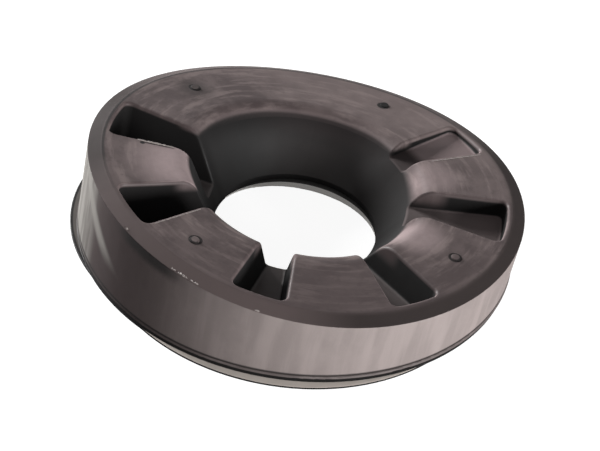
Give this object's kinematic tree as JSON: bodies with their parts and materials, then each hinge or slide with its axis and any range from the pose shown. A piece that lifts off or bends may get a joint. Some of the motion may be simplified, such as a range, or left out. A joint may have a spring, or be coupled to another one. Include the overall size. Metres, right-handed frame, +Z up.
{
  "type": "coil spring insulator",
  "caption": "Wedge-shaped rubber ring that seats a coil spring, with a flared bore and radial pockets that open into the bore.",
  "frame": {"origin": "centre of the bore on the flat underside", "axes": "+Z up out of the seat, square to the underside; +Y towards the low, unpocketed back of the ring; +X to the right, with the tallest side of the ring towards -X -Y"},
  "size_m": [0.1544, 0.1541, 0.0327],
  "materials": {
    "rubber": "satin, mottled by handling"
  },
  "bodies": {
    "root": {"spring_insulator": "rubber"}
  },
  "joints": []
}
